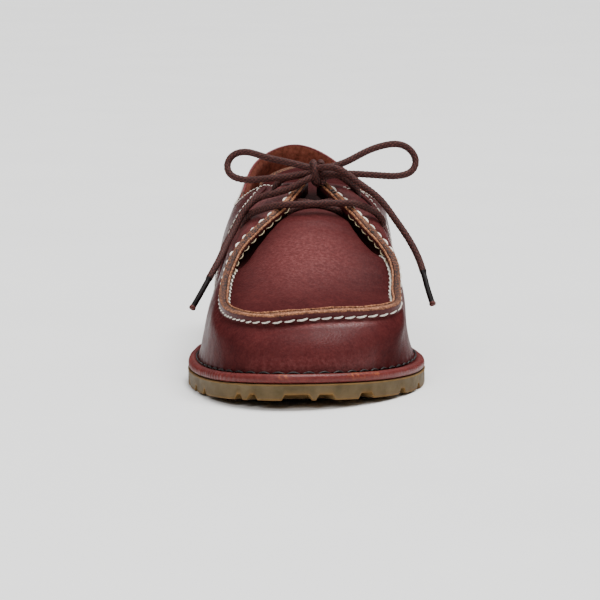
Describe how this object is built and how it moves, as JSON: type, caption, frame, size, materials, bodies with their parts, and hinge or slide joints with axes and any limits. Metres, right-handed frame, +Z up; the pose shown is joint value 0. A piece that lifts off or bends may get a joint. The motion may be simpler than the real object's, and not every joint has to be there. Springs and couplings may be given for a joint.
{
  "type": "lace-up shoe",
  "caption": "Left low leather shoe with a raised moccasin seam round the toe, a rolled welt, a lugged rubber sole and a tied round lace.",
  "frame": {"origin": "on the floor, under the middle of the sole's box", "axes": "+Z up, the toe points along -Y, +X is the outer (lateral) side of the foot"},
  "size_m": [0.1141, 0.296, 0.105],
  "materials": {
    "outsole_rubber": "matte olive-brown gum rubber",
    "welt_leather": "rolled burgundy leather, satin",
    "insole_leather": "brown lining leather, matte",
    "upper_leather": "smooth burgundy leather, waxed",
    "lace_cord": "braided dark brown cotton cord"
  },
  "bodies": {
    "root": {"outsole": "outsole_rubber", "welt": "welt_leather", "insole": "insole_leather", "upper": "upper_leather", "heel_quarter": "upper_leather", "tongue": "upper_leather", "lace_bar": "lace_cord", "lace_cross": "lace_cord", "lace_riser_inner": "lace_cord", "lace_riser_outer": "lace_cord", "lace_knot": "lace_cord", "lace_loop_inner": "lace_cord", "lace_loop_outer": "lace_cord", "lace_end_inner": "lace_cord", "lace_end_outer": "lace_cord"}
  },
  "joints": []
}
